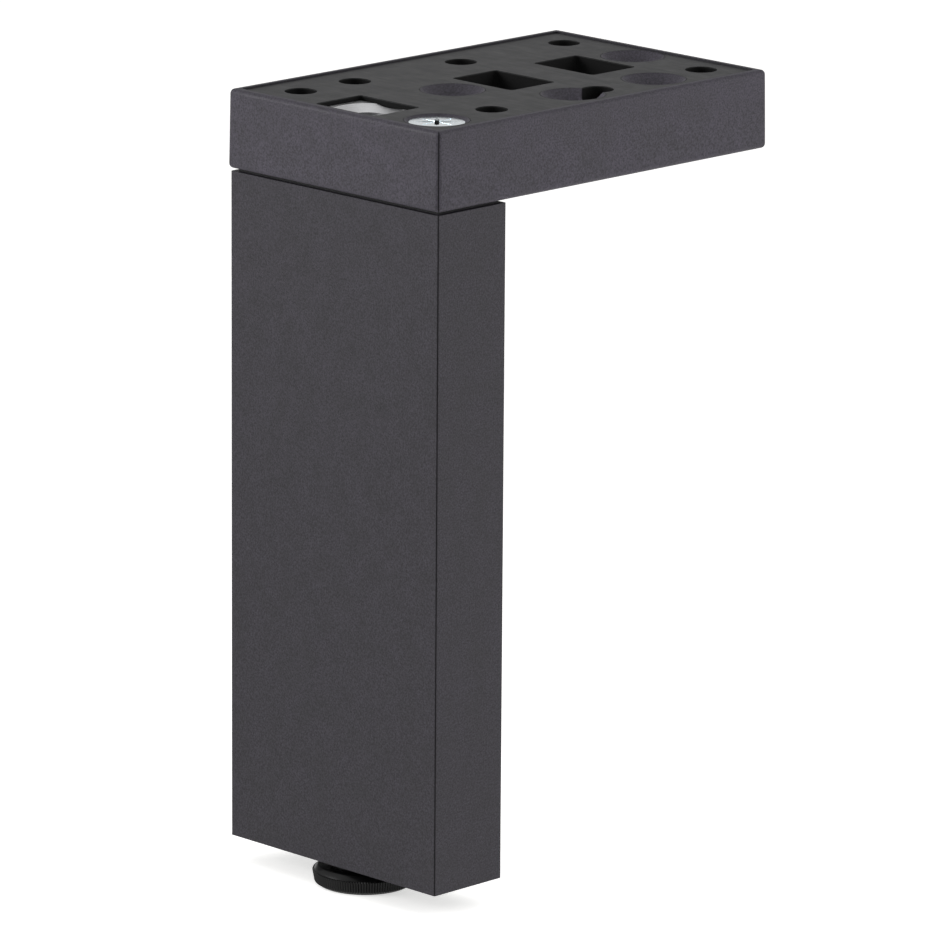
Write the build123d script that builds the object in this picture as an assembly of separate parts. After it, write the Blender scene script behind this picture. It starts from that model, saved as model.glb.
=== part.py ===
from build123d import *
import os
from math import atan, cos, degrees, pi, sin

# Adjustable furniture leg: a rectangular column under one end of a flat fixing plate,
# with a screw foot in its lower end.
# Millimetres. The origin is on the floor under the middle of the foot, +Z is up,
# +X runs along the plate's overhang and Y across the column's broad side.

# How far a cut reaches past the face it opens
cut_over = 1.0

# Plate
plate_length = 93.4
plate_width = 60.0
plate_height = 16.2
plate_draft_width = 0.2
plate_edge_radius = 1.0
shell_wall = 1.8
shell_floor = 2.0
shell_inner_corner = 0.8
rim_height = 0.4

# Panel set into the plate
insert_thickness = 2.2
insert_clearance = 0.1
sleeve_wall = 1.2

# Windows that take the key on top of the column, at three places for the column
window_length = 12.8
window_width = 17.2
window_corner = 1.0
second_place = 38.1
third_place = 61.4

# Countersunk screw places
countersink_mouth = 12.7
boss_wall = 0.25
clearance_hole = 6.6
screw_row_margin = 10.4
side_place = 23.7
far_side_place = 75.5

# Holes for the screws that hold the plate to the furniture
fixing_hole = 6.6
fixing_first_place = 10.0
fixing_second_place = 25.0
fixing_pitch = 30.0
fixing_row_margin = 10.5

# Column
column_depth = 18.8
column_height = 138.8
column_wall = 1.6
column_corner_radius = 0.4
column_inset = 0.3
stiffener_size = 1.2
stiffener_offset = 9.0

# Gasket between plate and column
gasket_thickness = 0.6
gasket_inset = 1.2
gasket_gap = 0.3

# Metal block in the column's upper end
fit_clearance = 0.08
head_depth = 22.0
head_wall = 2.6
key_clearance = 0.3
key_sink = 1.4
key_corner = 0.8
access_bore = 8.0
dish_diameter = 14.4
dish_depth = 1.2
tapped_boss = 11.0

# Countersunk screw that clamps the plate to the column
screw_diameter = 6.0
screw_length = 30.0
screw_head = 11.3
screw_head_land = 0.3
screw_point = 0.8
recess_span = 6.2
recess_arm = 1.3
recess_depth = 2.6
recess_angle = 45.0
thread_clearance = 0.05
seat_clearance = 0.03

# Foot
foot_drop = 5.4
disc_bottom_radius = 10.3
disc_top_radius = 10.7
disc_rib_foot = 0.4
disc_rib_top = 2.9
disc_height = 4.0
disc_top_edge = 9.5
disc_hub_radius = 7.2
rib_count = 84
rib_depth = 0.3
core_relief = 0.1
disc_floor = 1.2
disc_groove_inner = 6.0
disc_groove_outer = 8.4
disc_groove_depth = 0.5
hub_clearance = 0.3

# Screw spindle of the foot
stud_diameter = 10.0
stud_length = 35.0
stud_chamfer = 0.9
snap_level = 1.2
snap_height = 1.0
snap_depth = 0.6
socket_across_flats = 5.0
socket_depth = 5.0
running_clearance = 0.05

# End plug and threaded bush in the column's lower end
plug_height = 16.0
plug_recess = 0.2
plug_floor = 2.4
plug_boss = 15.0
plug_web = 1.4
bush_diameter = 12.6
bush_flange = 14.4
bush_flange_thickness = 1.2
bush_height = 15.0

# Levels above the floor
column_bottom = foot_drop
column_top = column_bottom + column_height
plate_bottom = column_top + gasket_thickness
plate_top = plate_bottom + plate_height
insert_top = plate_top - rim_height
insert_bottom = insert_top - insert_thickness
shell_floor_top = plate_bottom + shell_floor
plug_bottom = column_bottom + plug_recess

# Places in plan
column_width = plate_width - 2 * column_inset
plate_near = -(column_inset + column_depth / 2)
plate_middle = plate_near + plate_length / 2
column_places = [0.0, second_place, third_place]
screw_row_offset = plate_width / 2 - screw_row_margin
countersinks = [(x, -screw_row_offset) for x in column_places]
countersinks += [(side_place, 0.0), (far_side_place, 0.0)]
fixing_row = plate_width / 2 - fixing_row_margin
fixing_columns = [plate_near + fixing_second_place + n * fixing_pitch for n in range(3)]
fixing_holes = [(x, y) for x in fixing_columns for y in (-fixing_row, fixing_row)]
fixing_holes += [(plate_near + fixing_first_place, fixing_row)]
boss_diameter = countersink_mouth + 2 * boss_wall
bore_depth = column_depth - 2 * column_wall
bore_width = column_width - 2 * column_wall


def upright(x, y, low, high, diameter):
    """A round rod standing on level low."""
    return Pos(x, y, low) * extrude(Circle(diameter / 2), high - low)


def block(x, y, low, high, length, width, corner=0.0):
    """A rectangular block, with rounded upright corners where a radius is given."""
    outline = RectangleRounded(length, width, corner) if corner else Rectangle(length, width)
    return Pos(x, y, low) * extrude(outline, high - low)


def turned(points):
    """A solid turned about Z from a closed half section of (radius, level) points."""
    section = make_face(Polyline(*points, close=True))
    return revolve(Plane.XZ * section, Axis.Z)


def countersink_cut(x, y):
    """The cone and the clearance hole below it, down through the plate."""
    mouth = countersink_mouth / 2
    throat = clearance_hole / 2
    throat_level = insert_top - (mouth - throat)
    above = insert_top + cut_over
    below = plate_bottom - cut_over
    points = [(0, above), (mouth, above), (mouth, insert_top)]
    points += [(throat, throat_level), (throat, below), (0, below)]
    return Pos(x, y, 0) * turned(points)


def fixing_cut(x, y):
    """A screw hole right through the plate."""
    return upright(x, y, plate_bottom - cut_over, plate_top + cut_over, fixing_hole)


def window_cut(x):
    """The well that takes the column's key."""
    low = plate_bottom - cut_over
    high = plate_top + cut_over
    return block(x, 0, low, high, window_length, window_width, window_corner)


def plate_shell():
    """Tray with drafted walls, rounded edges, a raised rim and the countersunk bosses."""
    outline = Rectangle(plate_length + 2 * plate_draft_width, plate_width + 2 * plate_draft_width)
    draft_angle = degrees(atan(plate_draft_width / plate_height))
    body = Pos(plate_middle, 0, plate_bottom) * extrude(outline, plate_height, taper=draft_angle)
    body = fillet(body.edges(), plate_edge_radius)
    inner_length = plate_length - 2 * shell_wall
    inner_width = plate_width - 2 * shell_wall
    tray_top = plate_top + cut_over
    body -= block(plate_middle, 0, shell_floor_top, tray_top, inner_length, inner_width, shell_inner_corner)
    for x, y in countersinks:
        body += upright(x, y, shell_floor_top - shell_floor / 2, insert_top, boss_diameter)
    for x, y in countersinks:
        body -= countersink_cut(x, y)
    for x, y in fixing_holes:
        body -= fixing_cut(x, y)
    for x in column_places:
        body -= window_cut(x)
    return body


def plate_insert():
    """Flush panel with wells round the windows and sleeves round the screw holes."""
    length = plate_length - 2 * (shell_wall + insert_clearance)
    width = plate_width - 2 * (shell_wall + insert_clearance)
    body = block(plate_middle, 0, insert_bottom, insert_top, length, width, shell_inner_corner)
    for x in column_places:
        well_length = window_length + 2 * sleeve_wall
        well_width = window_width + 2 * sleeve_wall
        body += block(x, 0, shell_floor_top, insert_top, well_length, well_width)
    sleeve = fixing_hole + 2 * sleeve_wall
    for x, y in fixing_holes:
        body += block(x, y, shell_floor_top, insert_top, sleeve, sleeve)
    for x, y in countersinks:
        body -= upright(x, y, plate_bottom, plate_top, boss_diameter + 2 * insert_clearance)
    for x, y in fixing_holes:
        body -= fixing_cut(x, y)
    for x in column_places:
        body -= window_cut(x)
    return body


def seat_gasket():
    """Thin black shim, set back from the faces, that leaves the shadow line at the joint."""
    length = column_depth - 2 * gasket_inset
    width = column_width - 2 * gasket_inset
    body = block(0, 0, column_top, plate_bottom, length, width)
    key_length = window_length - 2 * key_clearance + 2 * gasket_gap
    key_width = window_width - 2 * key_clearance + 2 * gasket_gap
    low = column_top - cut_over
    high = plate_bottom + cut_over
    body -= block(0, 0, low, high, key_length, key_width)
    body -= upright(0, -screw_row_offset, low, high, clearance_hole)
    return body


def stiffeners(clearance):
    """The four lengthwise ribs inside the column, grown by a clearance for what slides over them."""
    size = stiffener_size + 2 * clearance
    ribs = []
    for side in (-1, 1):
        for y in (-stiffener_offset, stiffener_offset):
            x = side * (bore_depth - stiffener_size + fit_clearance) / 2
            deep = stiffener_size + fit_clearance + 2 * clearance
            ribs.append(block(x, y, column_bottom, column_top, deep, size))
    return ribs


def column():
    """Extruded rectangular tube with four stiffening ribs."""
    body = block(0, 0, column_bottom, column_top, column_depth, column_width, column_corner_radius)
    body -= block(0, 0, column_bottom, column_top, bore_depth, bore_width)
    for rib in stiffeners(0.0):
        body += rib
    return body


def column_head():
    """Cast block in the tube, with the key that stands up through the plate's window."""
    low = column_top - head_depth
    below = low - cut_over
    length = bore_depth - 2 * fit_clearance
    width = bore_width - 2 * fit_clearance
    body = block(0, 0, low, column_top, length, width)
    pocket_length = length - 2 * head_wall
    pocket_width = (width - tapped_boss) / 2 - head_wall - access_bore / 2
    pocket_high = column_top - 2 * head_wall
    for side in (-1, 1):
        y = side * (width / 2 - head_wall - pocket_width / 2)
        body -= block(0, y, below, pocket_high, pocket_length, pocket_width)
    body += upright(0, -screw_row_offset, low, column_top, tapped_boss)
    for rib in stiffeners(fit_clearance):
        body -= rib
    key_top = plate_top - key_sink
    key_length = window_length - 2 * key_clearance
    key_width = window_width - 2 * key_clearance
    body += block(0, 0, column_top - head_wall, key_top, key_length, key_width, key_corner)
    bore = access_bore / 2
    dish = dish_diameter / 2
    above = key_top + cut_over
    points = [(0, above), (dish, above), (dish, key_top), (bore, key_top - dish_depth)]
    points += [(bore, below), (0, below)]
    body -= turned(points)
    thread_bore = screw_diameter + 2 * thread_clearance
    body -= upright(0, -screw_row_offset, below, column_top + cut_over, thread_bore)
    return body


def plate_screw():
    """Countersunk machine screw with a cross recess, seated in the cone over the column."""
    rim = screw_head / 2
    top = insert_top - (countersink_mouth / 2 - rim) + screw_head_land + seat_clearance
    shank = screw_diameter / 2
    neck = top - screw_head_land - (rim - shank)
    tip = top - screw_length
    points = [(0, top), (rim, top), (rim, top - screw_head_land), (shank, neck)]
    points += [(shank, tip + screw_point), (shank - screw_point, tip), (0, tip)]
    body = turned(points)
    floor = top - recess_depth
    for turn in (recess_angle, recess_angle + 90):
        arm = Rot(0, 0, turn) * Rectangle(recess_span, recess_arm)
        foot = Rot(0, 0, turn) * Rectangle(recess_span / 2, recess_arm / 2)
        body -= loft([Pos(0, 0, floor) * foot, Pos(0, 0, top) * arm])
    return Pos(0, -screw_row_offset, 0) * body


def foot_plug():
    """Ribbed end plug pressed into the tube, with a boss round the bush."""
    length = bore_depth - 2 * fit_clearance
    width = bore_width - 2 * fit_clearance
    high = plug_bottom + plug_height
    body = block(0, 0, plug_bottom, high, length, width)
    cell_length = length - 2 * plug_web
    half = (width - plug_boss) / 2
    cell_width = (half - 2 * plug_web) / 2
    for side in (-1, 1):
        for step in (0, 1):
            y = side * (plug_boss / 2 + cell_width / 2 + step * (cell_width + plug_web))
            body -= block(0, y, plug_bottom + plug_floor, high + cut_over, cell_length, cell_width)
    for rib in stiffeners(fit_clearance):
        body -= rib
    below = plug_bottom - cut_over
    body -= upright(0, 0, below, high + cut_over, bush_diameter)
    body -= upright(0, 0, below, plug_bottom + bush_flange_thickness, bush_flange)
    return body


def foot_bush():
    """Flanged metal bush with the thread that the stud runs in."""
    high = plug_bottom + bush_height
    body = upright(0, 0, plug_bottom, high, bush_diameter)
    body += upright(0, 0, plug_bottom, plug_bottom + bush_flange_thickness, bush_flange)
    bore = stud_diameter + 2 * running_clearance
    body -= upright(0, 0, plug_bottom - cut_over, high + cut_over, bore)
    return body


def foot_stud():
    """Spindle that snaps into the disc, with a hexagon socket at its upper end."""
    low = disc_floor + running_clearance
    shank = stud_diameter / 2
    top = low + stud_length
    waist = shank - snap_depth
    waist_low = low + snap_level
    waist_high = waist_low + snap_height
    points = [(0, low), (shank, low), (shank, waist_low), (waist, waist_low), (waist, waist_high)]
    points += [(shank, waist_high), (shank, top - stud_chamfer), (shank - stud_chamfer, top), (0, top)]
    body = turned(points)
    corner_radius = socket_across_flats / 3 ** 0.5
    socket = extrude(RegularPolygon(corner_radius, 6), socket_depth)
    return body - Pos(0, 0, top - socket_depth) * socket


def ribbed_outline(radius, level):
    """A closed outline of fine ribs round a circle, at a level."""
    points = []
    for n in range(2 * rib_count):
        reach = radius - rib_depth * (n % 2)
        turn = pi * n / rib_count
        points.append((reach * cos(turn), reach * sin(turn)))
    return Pos(0, 0, level) * make_face(Polyline(*points, close=True))


def foot_disc():
    """Foot with a ribbed, slightly tapered rim, a sloped shoulder and a snap lip for the stud."""
    hub_top = plug_bottom - hub_clearance
    low_edge = disc_bottom_radius - rib_depth - core_relief
    high_edge = disc_top_radius - rib_depth - core_relief
    points = [(0, 0), (low_edge - disc_rib_foot, 0), (low_edge, disc_rib_foot)]
    points += [(high_edge, disc_rib_top), (disc_top_edge, disc_height)]
    points += [(disc_hub_radius, disc_height), (disc_hub_radius, hub_top), (0, hub_top)]
    body = turned(points)
    rim_low = ribbed_outline(disc_bottom_radius, disc_rib_foot)
    rim_high = ribbed_outline(disc_top_radius, disc_rib_top)
    body += loft([rim_low, rim_high], ruled=True)
    glide = upright(0, 0, -cut_over, disc_groove_depth, 2 * disc_groove_outer)
    body -= glide - upright(0, 0, -cut_over, disc_groove_depth, 2 * disc_groove_inner)
    bore = stud_diameter / 2 + running_clearance
    lip = bore - snap_depth
    lip_low = disc_floor + snap_level + 2 * running_clearance
    lip_high = lip_low + snap_height - 2 * running_clearance
    points = [(0, disc_floor), (bore, disc_floor), (bore, lip_low), (lip, lip_low), (lip, lip_high)]
    above = hub_top + cut_over
    points += [(bore, lip_high), (bore, above), (0, above)]
    return body - turned(points)


parts = {
    "plate_shell": plate_shell,
    "plate_insert": plate_insert,
    "seat_gasket": seat_gasket,
    "column": column,
    "column_head": column_head,
    "plate_screw": plate_screw,
    "foot_plug": foot_plug,
    "foot_bush": foot_bush,
    "foot_stud": foot_stud,
    "foot_disc": foot_disc,
}

os.makedirs("parts", exist_ok=True)
for name, make in parts.items():
    export_step(make(), "parts/" + name + ".step")
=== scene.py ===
import math

import bpy
from bpy.props import FloatProperty, FloatVectorProperty, IntProperty, PointerProperty
from mathutils import Matrix, Vector


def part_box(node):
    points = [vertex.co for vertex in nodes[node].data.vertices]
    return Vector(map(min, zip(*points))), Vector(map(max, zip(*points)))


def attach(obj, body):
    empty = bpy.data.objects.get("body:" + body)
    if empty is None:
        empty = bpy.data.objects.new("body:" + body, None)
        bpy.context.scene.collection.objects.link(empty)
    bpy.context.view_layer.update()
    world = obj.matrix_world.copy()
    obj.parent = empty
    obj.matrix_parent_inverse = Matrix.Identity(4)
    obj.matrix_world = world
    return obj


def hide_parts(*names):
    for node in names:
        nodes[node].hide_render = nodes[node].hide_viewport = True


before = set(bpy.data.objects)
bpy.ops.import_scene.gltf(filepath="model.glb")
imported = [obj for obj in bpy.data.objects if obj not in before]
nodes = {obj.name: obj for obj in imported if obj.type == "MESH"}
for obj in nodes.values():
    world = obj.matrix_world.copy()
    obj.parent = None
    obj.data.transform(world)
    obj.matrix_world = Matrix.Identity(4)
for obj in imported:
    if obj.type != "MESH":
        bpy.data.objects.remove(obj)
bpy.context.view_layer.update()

bl_info = {
    "name": "Adjustable furniture leg",
    "version": (1, 0, 0),
    "blender": (4, 5, 0),
    "location": "3D View > Sidebar > Leg",
    "description": "Finishes and fine forms for an adjustable furniture leg, with a plain studio",
    "category": "Object",
}

screw_low, screw_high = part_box("plate_screw")
stud_low, stud_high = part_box("foot_stud")
disc_low, disc_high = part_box("foot_disc")
# Points closer than this, in metres, are merged.
MERGE = 0.000001
# Depth of a metric thread, as a share of its pitch.
THREAD_DEPTH = 0.6134
# Share of its colour that a place keeps under the darkest painted shade, on an edge or in a deep well.
DARKEST = 0.1


def length_property(name, description, default):
    """A length in metres that a user can change."""
    return FloatProperty(
        name=name, description=description, default=default, min=0.0, precision=5, unit="LENGTH"
    )


def colour_property(name, description, default):
    """A linear colour that a user can change."""
    return FloatVectorProperty(
        name=name, description=description, default=default, min=0.0, max=1.0, size=3, subtype="COLOR"
    )


def amount_property(name, description, default, unit="NONE"):
    """A strength, power or lens that a user can change."""
    return FloatProperty(name=name, description=description, default=default, min=0.0, unit=unit)


class LegSizes(bpy.types.PropertyGroup):
    """Sizes of the pieces modelled here."""

    screw_land: length_property("Screw head land", "Height of the screw head's upright edge", 0.0003)
    screw_shank: length_property("Screw shank", "Outer radius of the screw's thread", 0.003)
    screw_pitch: length_property("Screw pitch", "Pitch of the screw's thread", 0.001)
    recess_reach: length_property("Recess reach", "How far an arm of the cross recess reaches", 0.0031)
    recess_arm: length_property("Recess arm", "Width of an arm of the cross recess", 0.001)
    recess_depth: length_property("Recess depth", "Depth of the cross recess", 0.0026)
    stud_radius: length_property("Stud radius", "Outer radius of the stud's thread", 0.005)
    stud_pitch: length_property("Stud pitch", "Pitch of the stud's thread", 0.0015)
    stud_chamfer: length_property("Stud chamfer", "Chamfer at the ends of the stud's thread", 0.0009)
    socket_flats: length_property("Socket", "Width across the hexagon socket's flats", 0.005)
    socket_depth: length_property("Socket depth", "Depth of the hexagon socket", 0.005)
    rib_depth: length_property("Rib depth", "How deep the grooves between the foot's ribs are", 0.00022)
    rib_count: IntProperty(
        name="Ribs", description="Number of ribs round the foot", default=116, min=12, max=120
    )


class LegColours(bpy.types.PropertyGroup):
    """Base colours of the finishes."""

    moulding: colour_property("Graphite moulding", "Paint of the plate shell", (0.0355, 0.0315, 0.0425))
    panel: colour_property("Black moulding", "Panel, gasket and end plug", (0.027, 0.027, 0.028))
    column: colour_property("Graphite column", "Coating of the column", (0.025, 0.0225, 0.029))
    casting: colour_property("Bare casting", "Metal of the column's head", (0.55, 0.55, 0.56))
    zinc: colour_property("Zinc plating", "Plating of the plate screw", (0.84, 0.90, 0.93))
    brass: colour_property("Brass", "Metal of the foot bush", (0.62, 0.46, 0.20))
    steel: colour_property("Steel", "Metal of the foot stud", (0.50, 0.51, 0.52))
    foot: colour_property("Foot black", "Moulding of the foot disc", (0.002, 0.002, 0.0022))


class LegStage(bpy.types.PropertyGroup):
    """Studio floor, backdrop, lamps and camera."""

    sky_power: amount_property("Overhead light", "Strength of the broad light above", 0.8)
    left_power: amount_property("Left lamp", "Power of the left lamp", 0.22, "POWER")
    right_power: amount_property("Right lamp", "Power of the right lamp", 3.2, "POWER")
    surround: amount_property("Surround", "Brightness of the surround", 0.4)
    glow: amount_property("Floor glow", "Light that the floor gives off far from the leg", 0.42)
    # The floor glows more at the foot: a painted light that lightens the leg's shadows there, up to the
    # near and glow reaches.
    foot_glow_with_painted_fill: amount_property("Near floor glow", "Light that the floor gives off at the foot", 0.6)
    near_reach: length_property("Near reach", "Distance from the foot up to which it glows fully", 0.04)
    glow_reach: length_property("Glow reach", "Distance from the foot at which the near glow ends", 0.11)
    lens: amount_property("Lens", "Focal length of the camera", 0.293841, "CAMERA")


def start_piece(name, place):
    """One point, in edit mode, to be drawn out into a section."""
    bpy.ops.object.select_all(action="DESELECT")
    bpy.ops.mesh.primitive_plane_add(size=0.001, location=place)
    bpy.context.object.name = name
    bpy.ops.object.mode_set(mode="EDIT")
    bpy.ops.mesh.merge(type="CENTER")


def end_piece(smooth_angle=30):
    """Closes the mesh, turns its faces outwards and puts its origin at the scene's."""
    bpy.ops.object.mode_set(mode="EDIT")
    bpy.ops.mesh.select_all(action="SELECT")
    bpy.ops.mesh.remove_doubles(threshold=MERGE)
    bpy.ops.mesh.normals_make_consistent(inside=False)
    bpy.ops.object.mode_set(mode="OBJECT")
    bpy.ops.object.transform_apply(location=True, rotation=True, scale=True)
    bpy.ops.object.shade_smooth_by_angle(angle=math.radians(smooth_angle))
    return bpy.context.object


def draw_section(points):
    """Extrudes the chosen point from one (radius, level) to the next."""
    for (r0, z0), (r1, z1) in zip(points, points[1:]):
        bpy.ops.mesh.extrude_region_move(TRANSFORM_OT_translate={"value": (r1 - r0, 0, z1 - z0)})


def turned(name, points, steps):
    """A piece turned about Z from a half section of (radius, level) points."""
    start_piece(name, (points[0][0], 0, points[0][1]))
    draw_section(points)
    bpy.ops.mesh.select_all(action="SELECT")
    bpy.ops.mesh.spin(steps=steps, angle=2 * math.pi, center=(0, 0, 0), axis=(0, 0, 1))
    return end_piece()


def apply_modifier(piece, modifier):
    """Applies one modifier to a piece."""
    bpy.context.view_layer.objects.active = piece
    bpy.ops.object.modifier_apply(modifier=modifier.name)


def cut(piece, tool):
    """Cuts a tool's shape out of a piece, and removes the tool."""
    modifier = piece.modifiers.new("Cut", "BOOLEAN")
    modifier.operation = "DIFFERENCE"
    modifier.solver = "EXACT"
    modifier.object = tool
    apply_modifier(piece, modifier)
    bpy.data.objects.remove(tool)


def join_into(piece, other):
    """Makes the other part of the piece's mesh."""
    bpy.ops.object.select_all(action="DESELECT")
    other.select_set(True)
    piece.select_set(True)
    bpy.context.view_layer.objects.active = piece
    bpy.ops.object.join()


def thread_root(radius, pitch):
    """The radius at the bottom of a thread."""
    return radius - THREAD_DEPTH * pitch


def threaded(name, low, high, radius, pitch, chamfer, steps):
    """A threaded rod about Z, cut level at both ends and drawn in to a chamfer there."""
    root = thread_root(radius, pitch)
    root_end, crest_start, crest_end = 0.25 * pitch, 0.5625 * pitch, 0.6875 * pitch
    spare_turns = 3
    start_piece(name, (root, 0, low - spare_turns / 2 * pitch))
    draw_section([(root, 0), (root, root_end), (radius, crest_start), (radius, crest_end), (root, pitch)])
    bpy.ops.object.mode_set(mode="OBJECT")
    bpy.ops.object.transform_apply(location=True)
    rod = bpy.context.object
    screw = rod.modifiers.new("Thread", "SCREW")
    screw.screw_offset = pitch
    screw.iterations = math.ceil((high - low) / pitch) + spare_turns
    screw.steps = screw.render_steps = steps
    apply_modifier(rod, screw)
    bpy.ops.object.mode_set(mode="EDIT")
    for level, side in ((low, {"clear_inner": True}), (high, {"clear_outer": True})):
        bpy.ops.mesh.select_all(action="SELECT")
        bpy.ops.mesh.remove_doubles(threshold=MERGE)
        bpy.ops.mesh.bisect(plane_co=(0, 0, level), plane_no=(0, 0, 1), use_fill=True, **side)
    rod = end_piece()
    for vertex in rod.data.vertices:
        limit = radius - chamfer + max(min(vertex.co.z - low, high - vertex.co.z), 0)
        reach = math.hypot(vertex.co.x, vertex.co.y)
        if reach > limit:
            vertex.co.x *= limit / reach
            vertex.co.y *= limit / reach
    return rod


def noise(tree, vector, scale, detail=2.0, rough=0.5):
    """A noise texture."""
    node = tree.nodes.new("ShaderNodeTexNoise")
    node.inputs["Scale"].default_value = scale
    node.inputs["Detail"].default_value = detail
    node.inputs["Roughness"].default_value = rough
    tree.links.new(vector, node.inputs["Vector"])
    return node.outputs["Fac"]


def ranged(tree, value, low, high, from_low=0.3, from_high=0.7):
    """Maps a value to a range."""
    node = tree.nodes.new("ShaderNodeMapRange")
    for key, number in {"From Min": from_low, "From Max": from_high, "To Min": low, "To Max": high}.items():
        node.inputs[key].default_value = number
    tree.links.new(value, node.inputs["Value"])
    return node.outputs["Result"]


def maths(tree, operation, first, second):
    """One operation on two values, each a socket or a number."""
    node = tree.nodes.new("ShaderNodeMath")
    node.operation = operation
    for socket, value in zip(node.inputs, (first, second)):
        if isinstance(value, (int, float)):
            socket.default_value = value
        else:
            tree.links.new(value, socket)
    return node.outputs[0]


def stretched(tree, vector, scale):
    """Coordinates scaled on each axis, which draws a texture out into streaks."""
    node = tree.nodes.new("ShaderNodeMapping")
    node.inputs["Scale"].default_value = scale
    tree.links.new(vector, node.inputs["Vector"])
    return node.outputs["Vector"]


def finish_material(
    name, colour, roughness, spread, metallic, specular, grain, depth, mottle,
    marks=None, shade=None, **settings
):
    """A finish with a fine grain, soft mottling and an uneven sheen.

    marks adds streaks or tool marks, and shade, with its settings, paints shade on places, making them
    darker and rougher.
    """
    material = bpy.data.materials.new(name)
    material.use_nodes = True
    tree = material.node_tree
    shader = tree.nodes["Principled BSDF"]
    shader.inputs["Metallic"].default_value = metallic
    shader.inputs["Specular IOR Level"].default_value = specular
    place = tree.nodes.new("ShaderNodeTexCoord").outputs["Object"]
    grains_in_patch = 14
    fine = noise(tree, place, grain, 2.0, 0.6)
    broad = noise(tree, place, grain / grains_in_patch, 3.0, 0.5)
    speckle = ranged(tree, fine, 1 - mottle, 1 + mottle)
    patches = ranged(tree, broad, 1 - mottle / 3, 1 + mottle / 3)
    tone = maths(tree, "MULTIPLY", speckle, patches)
    height = fine
    sheen = ranged(tree, broad, roughness - spread, roughness + spread)
    if marks:
        streak = marks(tree, place)
        unevenness = ranged(tree, streak, 0.9, 1.1)
        tone = maths(tree, "MULTIPLY", tone, unevenness)
        height = maths(tree, "ADD", fine, streak)
        sheen = maths(tree, "MULTIPLY", sheen, unevenness)
    if shade:
        # Painted shade: a darker colour and a rougher surface where the shade mask falls.
        shaded = shade(tree, place, **settings)
        tone = maths(tree, "MULTIPLY", tone, shaded)
        sheen = maths(tree, "MAXIMUM", sheen, maths(tree, "SUBTRACT", 1.0, shaded))
    tint = tree.nodes.new("ShaderNodeVectorMath")
    tint.operation = "SCALE"
    tint.inputs[0].default_value = colour
    tree.links.new(tone, tint.inputs["Scale"])
    tree.links.new(tint.outputs[0], shader.inputs["Base Color"])
    tree.links.new(sheen, shader.inputs["Roughness"])
    bump = tree.nodes.new("ShaderNodeBump")
    bump.inputs["Distance"].default_value = depth
    tree.links.new(height, bump.inputs["Height"])
    tree.links.new(bump.outputs["Normal"], shader.inputs["Normal"])
    return material


def coordinates(tree, place):
    """The three coordinates of a place."""
    parts = tree.nodes.new("ShaderNodeSeparateXYZ")
    tree.links.new(place, parts.inputs[0])
    return parts.outputs["X"], parts.outputs["Y"], parts.outputs["Z"]


def turning_marks(tree, place):
    """Rings round the Z axis, as a lathe leaves them."""
    rings_per_metre = 2600
    drift = 0.3
    x, y, z = coordinates(tree, place)
    flat = tree.nodes.new("ShaderNodeCombineXYZ")
    tree.links.new(x, flat.inputs["X"])
    tree.links.new(y, flat.inputs["Y"])
    radius = tree.nodes.new("ShaderNodeVectorMath")
    radius.operation = "LENGTH"
    tree.links.new(flat.outputs[0], radius.inputs[0])
    line = tree.nodes.new("ShaderNodeCombineXYZ")
    tree.links.new(radius.outputs["Value"], line.inputs["X"])
    tree.links.new(maths(tree, "MULTIPLY", z, drift), line.inputs["Y"])
    return noise(tree, line.outputs[0], rings_per_metre, 3.0, 0.6)


def drawn_streaks(tree, place):
    """Faint streaks across the panel, as its mould leaves them."""
    return noise(tree, stretched(tree, place, (900, 160, 900)), 1.0, 4.0, 0.6)


def upright_streaks(tree, place):
    """Faint upright lines, as on a moulded rim."""
    return noise(tree, stretched(tree, place, (3000, 3000, 300)), 1.0, 2.0, 0.5)


def depth_shade(tree, place, level):
    """Dark below a level, as in a narrow well that no light reaches."""
    start, full = 0.00005, 0.0003
    return ranged(tree, coordinates(tree, place)[2], DARKEST, 1.0, level - full, level - start)


def painted_edge_shade(tree, place, low, high, width, rim):
    """Painted shade: dark along the upright edges of a box, and a little darker along the inner edge of its
    raised rim, in the crease there.
    """
    rim_dimming = 0.45
    rim_height = 0.0004
    edge_reach = 0.0009
    soft = 0.0002
    x, y, z = coordinates(tree, place)
    inset = []
    for value, axis in ((x, 0), (y, 1)):
        offset = maths(tree, "SUBTRACT", value, (low[axis] + high[axis]) / 2)
        from_middle = maths(tree, "ABSOLUTE", offset, 0.0)
        inset.append(maths(tree, "SUBTRACT", (high[axis] - low[axis]) / 2, from_middle))
    apart = maths(tree, "ABSOLUTE", maths(tree, "SUBTRACT", *inset), 0.0)
    deeper = maths(tree, "MAXIMUM", *inset)
    nearer = maths(tree, "MINIMUM", *inset)
    # Painted shade: a dark line down each upright edge.
    line = ranged(tree, apart, DARKEST, 1.0, width / 2, width)
    beyond = ranged(tree, deeper, 0.0, 1.0, edge_reach - soft, edge_reach)
    upright = maths(tree, "MAXIMUM", line, beyond)
    # Painted shade: a darker band in the crease along the rim's inner edge.
    above = ranged(tree, z, 0.0, 1.0, high[2] - rim_height - soft / 2, high[2] - rim_height)
    within = ranged(tree, nearer, 0.0, rim_dimming, rim - soft, rim)
    return maths(tree, "SUBTRACT", upright, maths(tree, "MULTIPLY", above, within))


def dress(name, material):
    """Puts a finish on every slot of a CAD node."""
    for slot in nodes[name].material_slots:
        slot.material = material


def stand_in(piece, node, body, material):
    """Makes a finished piece take the place of a CAD node."""
    piece.data.materials.clear()
    piece.data.materials.append(material)
    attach(piece, body)
    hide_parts(node)


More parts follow.
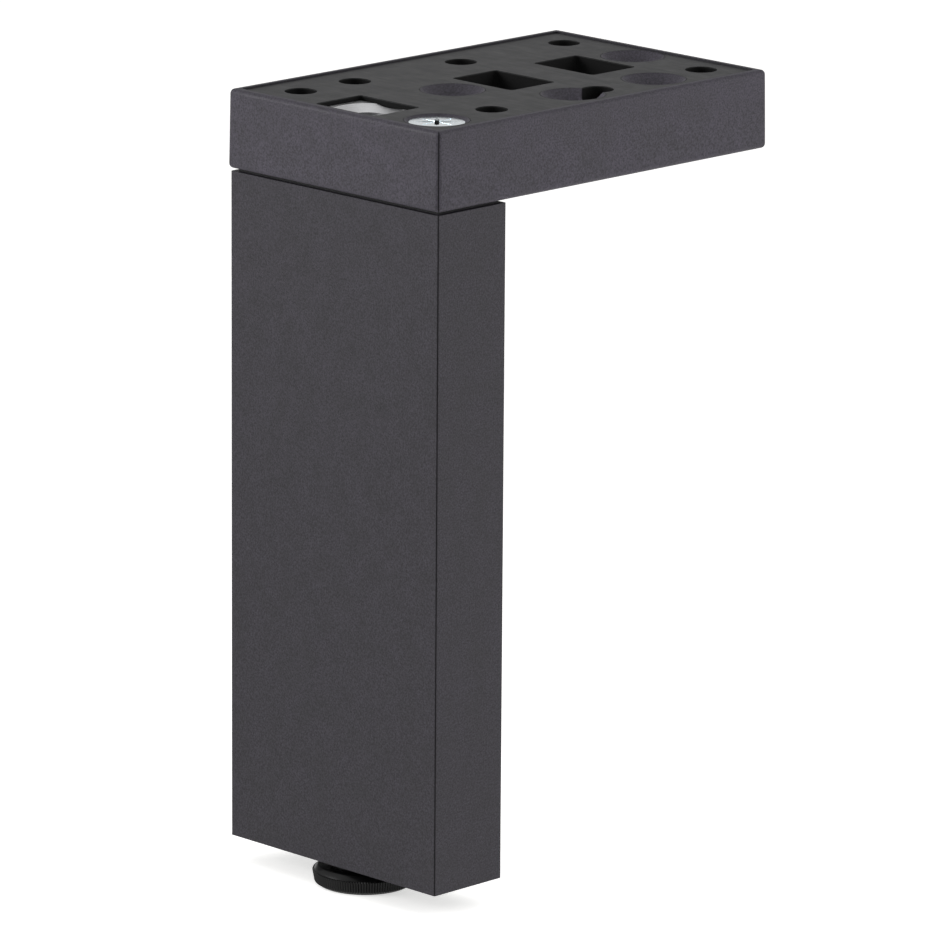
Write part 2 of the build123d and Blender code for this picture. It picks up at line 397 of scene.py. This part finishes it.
class LEG_OT_finishes(bpy.types.Operator):
    """Gives the plate, panel, gasket, column, head, plug and bush their finishes"""

    bl_idname = "leg.finishes"
    bl_label = "Finishes"

    def execute(self, context):
        colours = context.scene.leg_colours
        low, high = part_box("plate_shell")
        # The shell's finish carries painted shade on its upright edges and along the inside of its rim.
        moulding = finish_material(
            "Graphite moulding", colours.moulding, roughness=0.58, spread=0.05, metallic=0.0, specular=0.3,
            grain=2600, depth=0.00003, mottle=0.5,
            shade=painted_edge_shade, low=low, high=high, width=0.00024, rim=0.0016,
        )
        dress("plate_shell", moulding)
        black = finish_material(
            "Black moulding", colours.panel, roughness=0.6, spread=0.05, metallic=0.0, specular=0.25,
            grain=3600, depth=0.00002, mottle=0.16,
        )
        for name in ("seat_gasket", "foot_plug"):
            dress(name, black)
        # The panel's finish carries painted shade in its wells and holes.
        panel = finish_material(
            "Black panel", colours.panel, roughness=0.6, spread=0.05, metallic=0.0, specular=0.25,
            grain=3600, depth=0.00002, mottle=0.16, marks=drawn_streaks,
            shade=depth_shade, level=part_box("plate_insert")[1][2],
        )
        dress("plate_insert", panel)
        low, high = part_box("column")
        # The column's finish carries painted shade on its upright edges.
        coating = finish_material(
            "Graphite column", colours.column, roughness=0.56, spread=0.05, metallic=0.0, specular=0.27,
            grain=2800, depth=0.00002, mottle=0.5,
            shade=painted_edge_shade, low=low, high=high, width=0.0002, rim=0.01,
        )
        dress("column", coating)
        casting = finish_material(
            "Bare casting", colours.casting, roughness=0.36, spread=0.06, metallic=1.0, specular=0.5,
            grain=4000, depth=0.00002, mottle=0.06, marks=turning_marks,
        )
        dress("column_head", casting)
        brass = finish_material(
            "Brass", colours.brass, roughness=0.3, spread=0.06, metallic=1.0, specular=0.5,
            grain=3000, depth=0.00001, mottle=0.06, marks=turning_marks,
        )
        dress("foot_bush", brass)
        return {"FINISHED"}


class LEG_OT_plate_screw(bpy.types.Operator):
    """Models the plate screw, with its cross recess and thread"""

    bl_idname = "leg.plate_screw"
    bl_label = "Plate screw"

    def execute(self, context):
        sizes = context.scene.leg_sizes
        top = screw_high[2]
        rim = (screw_high[0] - screw_low[0]) / 2
        neck = top - sizes.screw_land - (rim - sizes.screw_shank)
        ease = 0.00008
        root = thread_root(sizes.screw_shank, sizes.screw_pitch)
        tip_chamfer = 0.6 * sizes.screw_pitch
        points = [(0, top), (rim - 3 * ease, top - 0.2 * ease), (rim - ease, top - ease / 2)]
        points += [(rim, top - 1.5 * ease), (rim, top - sizes.screw_land), (sizes.screw_shank, neck)]
        points += [(root, neck - sizes.screw_pitch), (0, neck - sizes.screw_pitch)]
        head = turned("plate_screw_head", points, 96)
        for angle in (45, 135):
            cut(head, self.arm(sizes, top, angle))
        for angle in (0, 45, 90, 135):
            cut(head, self.tick(sizes, top, angle))
        shank = threaded(
            "plate_screw_thread", screw_low[2], neck, sizes.screw_shank, sizes.screw_pitch, tip_chamfer, 40
        )
        join_into(head, shank)
        head.name = "countersunk_screw"
        bpy.ops.transform.translate(value=(0, (screw_low[1] + screw_high[1]) / 2, 0))
        piece = end_piece()
        colours = context.scene.leg_colours
        # The plating carries painted shade inside the cross recess.
        zinc = finish_material(
            "Zinc plating", colours.zinc, roughness=0.2, spread=0.05, metallic=1.0, specular=0.5,
            grain=2000, depth=0.00001, mottle=0.05, shade=depth_shade, level=top - 0.0001,
        )
        stand_in(piece, "plate_screw", "leg", zinc)
        return {"FINISHED"}

    def arm(self, sizes, top, angle):
        """One long arm of the cross, narrower at its floor."""
        over = 0.0004
        floor_share = 0.5
        middle = top + over / 2 - sizes.recess_depth / 2
        bpy.ops.object.select_all(action="DESELECT")
        bpy.ops.mesh.primitive_cube_add(
            size=1.0,
            location=(0, 0, middle),
            scale=(2 * sizes.recess_reach, sizes.recess_arm, sizes.recess_depth + over),
        )
        arm = bpy.context.object
        bpy.ops.object.transform_apply(location=True, rotation=True, scale=True)
        bpy.ops.object.mode_set(mode="EDIT")
        bpy.ops.mesh.select_mode(type="FACE")
        bpy.ops.mesh.select_all(action="DESELECT")
        bpy.ops.object.mode_set(mode="OBJECT")
        for face in arm.data.polygons:
            face.select = face.normal.z < -0.9
        bpy.ops.object.mode_set(mode="EDIT")
        bpy.ops.transform.resize(value=(floor_share, floor_share, 1.0), center_override=(0, 0, 0))
        bpy.ops.mesh.select_mode(type="VERT")
        bpy.ops.object.mode_set(mode="OBJECT")
        arm.rotation_euler.z = math.radians(angle)
        bpy.ops.object.transform_apply(location=True, rotation=True, scale=True)
        return arm

    def tick(self, sizes, top, angle):
        """A shallow groove across the recess, between its arms or along them."""
        width = sizes.recess_arm / 4
        reach = 1.3 * sizes.recess_reach
        bpy.ops.object.select_all(action="DESELECT")
        bpy.ops.mesh.primitive_cube_add(
            size=1.0,
            location=(0, 0, top),
            scale=(2 * reach, width, width),
            rotation=(0, 0, math.radians(angle)),
        )
        tick = bpy.context.object
        bpy.ops.object.transform_apply(location=True, rotation=True, scale=True)
        return tick


class LEG_OT_foot_stud(bpy.types.Operator):
    """Models the foot's threaded stud, with its snap waist and hexagon socket"""

    bl_idname = "leg.foot_stud"
    bl_label = "Foot stud"

    def execute(self, context):
        sizes = context.scene.leg_sizes
        radius, pitch = sizes.stud_radius, sizes.stud_pitch
        low, top = stud_low[2], stud_high[2]
        plain_top = disc_high[2]
        waist_low, waist_high = low + 0.0012, low + 0.0022
        waist = radius - 0.0006
        root = thread_root(radius, pitch)
        ease = 0.0002
        core_low, core_high = plain_top + 0.0006, plain_top + 0.003
        thread_low = plain_top - 0.001
        points = [(0, low), (radius - ease, low), (radius, low + ease), (radius, waist_low)]
        points += [(waist, waist_low), (waist, waist_high), (radius, waist_high)]
        points += [(radius, plain_top), (root, core_low), (root, core_high), (0, core_high)]
        end = turned("stud_end", points, 96)
        rod = threaded("stud_thread", thread_low, top, radius, pitch, sizes.stud_chamfer, 56)
        bpy.ops.object.select_all(action="DESELECT")
        bpy.ops.mesh.primitive_cylinder_add(
            vertices=6,
            radius=sizes.socket_flats / math.sqrt(3),
            depth=2 * sizes.socket_depth,
            location=(0, 0, top),
            rotation=(0, 0, math.radians(30)),
        )
        socket = bpy.context.object
        bpy.ops.object.transform_apply(location=True, rotation=True, scale=True)
        cut(rod, socket)
        join_into(rod, end)
        rod.name = "threaded_stud"
        piece = end_piece()
        colours = context.scene.leg_colours
        steel = finish_material(
            "Steel", colours.steel, roughness=0.3, spread=0.06, metallic=1.0, specular=0.5,
            grain=3000, depth=0.00001, mottle=0.08, marks=turning_marks,
        )
        stand_in(piece, "foot_stud", "stud", steel)
        return {"FINISHED"}


class LEG_OT_foot_disc(bpy.types.Operator):
    """Models the foot disc, with its ribbed rim, sloped shoulder and grooved floor face"""

    bl_idname = "leg.foot_disc"
    bl_label = "Foot disc"

    def execute(self, context):
        sizes = context.scene.leg_sizes
        rim = (disc_high[0] - disc_low[0]) / 2
        top = disc_high[2]
        ease, fillet, step = 0.00015, 0.0001, 0.0004
        groove_inner, groove_outer, groove_depth = 0.006, 0.0084, 0.0005
        tread = 0.0095
        lower, rim_low, rim_high = rim - step, step, 0.0029
        shoulder, collar, collar_low = 0.0096, 0.0072, 0.004
        bore, bore_floor = 0.00505, 0.0012
        snap, snap_low, snap_high = 0.00445, 0.0025, 0.0034
        points = [(0, 0), (groove_inner - fillet, 0), (groove_inner, fillet), (groove_inner, groove_depth)]
        points += [(groove_outer, groove_depth), (groove_outer, fillet), (groove_outer + fillet, 0)]
        points += [(tread, 0), (lower - step, rim_low), (lower - ease, rim_low), (lower, rim_low + ease)]
        points += [(rim, rim_high - ease), (rim - ease, rim_high), (rim - step, rim_high + fillet / 2)]
        points += [(shoulder, collar_low - fillet), (shoulder - 2 * fillet, collar_low)]
        points += [(collar + fillet, collar_low), (collar, collar_low + fillet)]
        points += [(collar, top - fillet), (collar - fillet, top)]
        points += [(bore + ease, top), (bore, top - ease), (bore, snap_high), (snap, snap_high)]
        points += [(snap, snap_low), (bore, snap_low), (bore, bore_floor), (0, bore_floor)]
        disc = turned("ribbed_disc", points, 4 * sizes.rib_count)
        self.flute(disc, sizes, lower - ease - MERGE, rim_low - fillet, rim_high + fillet / 4)
        piece = end_piece(40)
        colours = context.scene.leg_colours
        foot = finish_material(
            "Foot black", colours.foot, roughness=0.34, spread=0.08, metallic=0.0, specular=0.25,
            grain=2500, depth=0.00001, mottle=0.1, marks=upright_streaks,
        )
        stand_in(piece, "foot_disc", "foot", foot)
        return {"FINISHED"}

    def flute(self, disc, sizes, from_radius, low, high):
        """Draws every fourth line of the rim inwards between two levels, and its neighbours half as far."""
        quarter = math.pi / 2 / sizes.rib_count
        rim = from_radius + sizes.rib_depth
        for phase, share in ((2, 1.0), (1, 0.5), (3, 0.5)):
            bpy.ops.object.mode_set(mode="EDIT")
            bpy.ops.mesh.select_mode(type="VERT")
            bpy.ops.mesh.select_all(action="DESELECT")
            bpy.ops.object.mode_set(mode="OBJECT")
            for vertex in disc.data.vertices:
                x, y, z = vertex.co
                line = round(math.atan2(y, x) / quarter) % 4
                vertex.select = line == phase and math.hypot(x, y) > from_radius and low < z < high
            bpy.ops.object.mode_set(mode="EDIT")
            shrink = 1 - share * sizes.rib_depth / rim
            bpy.ops.transform.resize(value=(shrink, shrink, 1.0), center_override=(0, 0, 0))
            bpy.ops.object.mode_set(mode="OBJECT")


def lamp(name, kind, place, aim, power):
    """A lamp at a place, turned to a point."""
    light = bpy.data.lights.new(name, kind)
    light.energy = power
    lamp_object = bpy.data.objects.new(name, light)
    bpy.context.scene.collection.objects.link(lamp_object)
    lamp_object.location = place
    lamp_object.rotation_mode = "QUATERNION"
    lamp_object.rotation_quaternion = (Vector(aim) - Vector(place)).to_track_quat("-Z", "Y")
    return light


class LEG_OT_stage(bpy.types.Operator):
    """Adds the floor, the surround, the lamps and the camera"""

    bl_idname = "leg.stage"
    bl_label = "Stage"

    def execute(self, context):
        scene = context.scene
        settings = scene.leg_stage
        self.floor(settings)
        self.surround(scene, settings.surround)
        sky = lamp("sky", "SUN", (0.0, 0.0, 2.0), (0.02, 0.02, 0.0), settings.sky_power)
        sky.angle = math.radians(80)
        left = lamp("lamp_left", "AREA", (-0.4, 0.32, 0.34), (0.0, 0.0, 0.17), settings.left_power)
        right = lamp("lamp_right", "AREA", (0.45, -0.65, 0.45), (0.02, 0.0, 0.12), settings.right_power)
        for light, size, spread in ((left, 0.25, 50), (right, 0.6, 180)):
            light.shape = "RECTANGLE"
            light.size = light.size_y = size
            light.spread = math.radians(spread)
        self.camera(scene, settings.lens)
        scene.view_settings.view_transform = "Standard"
        return {"FINISHED"}

    def floor(self, settings):
        """A plain pale floor, lit from below as on a photographer's table; its glow is strongest under the
        leg, a painted light that lightens the leg's shadows there.
        """
        bpy.ops.object.select_all(action="DESELECT")
        bpy.ops.mesh.primitive_plane_add(size=12.0, location=(0, 0, 0))
        floor = bpy.context.object
        floor.name = "stage_floor"
        material = bpy.data.materials.new("Pale floor")
        material.use_nodes = True
        tree = material.node_tree
        shader = tree.nodes["Principled BSDF"]
        shader.inputs["Base Color"].default_value = (0.94, 0.935, 0.925, 1.0)
        shader.inputs["Roughness"].default_value = 0.8
        shader.inputs["Specular IOR Level"].default_value = 0.1
        shader.inputs["Emission Color"].default_value = (1.0, 1.0, 0.99, 1.0)
        away = tree.nodes.new("ShaderNodeVectorMath")
        away.operation = "LENGTH"
        tree.links.new(tree.nodes.new("ShaderNodeTexCoord").outputs["Object"], away.inputs[0])
        # Painted light: the floor glows more near the foot, lightening the leg's shadows there.
        strengths = (settings.foot_glow_with_painted_fill, settings.glow)
        glow = ranged(tree, away.outputs["Value"], *strengths, settings.near_reach, settings.glow_reach)
        tree.links.new(glow, shader.inputs["Emission Strength"])
        floor.data.materials.append(material)

    def surround(self, scene, strength):
        """A soft surround, darker on the camera's side."""
        world = bpy.data.worlds.new("Studio surround")
        world.use_nodes = True
        tree = world.node_tree
        background = tree.nodes["Background"]
        background.inputs["Color"].default_value = (1.0, 1.0, 1.0, 1.0)
        way = tree.nodes.new("ShaderNodeTexCoord").outputs["Generated"]
        towards = tree.nodes.new("ShaderNodeVectorMath")
        towards.operation = "DOT_PRODUCT"
        towards.inputs[1].default_value = (0.7, 0.7, 0.1)
        tree.links.new(way, towards.inputs[0])
        near_side, far_side = 0.3 * strength, 1.7 * strength
        level = ranged(tree, towards.outputs["Value"], near_side, far_side, -1.0, 1.0)
        tree.links.new(level, background.inputs["Strength"])
        scene.world = world

    def camera(self, scene, lens):
        """The photograph's own viewpoint."""
        place = (-1.0466776, -1.0815230, 0.4626772)
        yaw, pitch, roll = 0.787418, 0.245594, 0.006948
        look = Vector((math.cos(yaw) * math.cos(pitch), math.sin(yaw) * math.cos(pitch), -math.sin(pitch)))
        right = Vector((math.sin(yaw), -math.cos(yaw), 0.0))
        up = right.cross(look)
        turned_right = math.cos(roll) * right + math.sin(roll) * up
        turned_up = math.cos(roll) * up - math.sin(roll) * right
        data = bpy.data.cameras.new("Camera")
        data.sensor_width = 36.0
        data.lens = lens * 1000
        camera = bpy.data.objects.new("Camera", data)
        scene.collection.objects.link(camera)
        turn = Matrix((turned_right, turned_up, -look)).transposed().to_4x4()
        camera.matrix_world = Matrix.Translation(place) @ turn
        scene.camera = camera


class VIEW3D_PT_leg(bpy.types.Panel):
    """Lists the operators that finish the leg"""

    bl_idname = "VIEW3D_PT_leg"
    bl_label = "Adjustable furniture leg"
    bl_space_type = "VIEW_3D"
    bl_region_type = "UI"
    bl_category = "Leg"

    def draw(self, context):
        for operator in operators:
            self.layout.operator(operator.bl_idname)


operators = (LEG_OT_finishes, LEG_OT_plate_screw, LEG_OT_foot_stud, LEG_OT_foot_disc, LEG_OT_stage)
classes = (LegSizes, LegColours, LegStage, *operators, VIEW3D_PT_leg)


def register():
    """Registers the classes and gives the scene their values."""
    for cls in classes:
        bpy.utils.register_class(cls)
    bpy.types.Scene.leg_sizes = PointerProperty(type=LegSizes)
    bpy.types.Scene.leg_colours = PointerProperty(type=LegColours)
    bpy.types.Scene.leg_stage = PointerProperty(type=LegStage)


def unregister():
    """Takes away what register added."""
    del bpy.types.Scene.leg_stage
    del bpy.types.Scene.leg_colours
    del bpy.types.Scene.leg_sizes
    for cls in reversed(classes):
        bpy.utils.unregister_class(cls)


def main():
    """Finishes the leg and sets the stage."""
    register()
    bpy.ops.leg.finishes()
    bpy.ops.leg.plate_screw()
    bpy.ops.leg.foot_stud()
    bpy.ops.leg.foot_disc()
    bpy.ops.leg.stage()


if __name__ == "__main__":
    main()
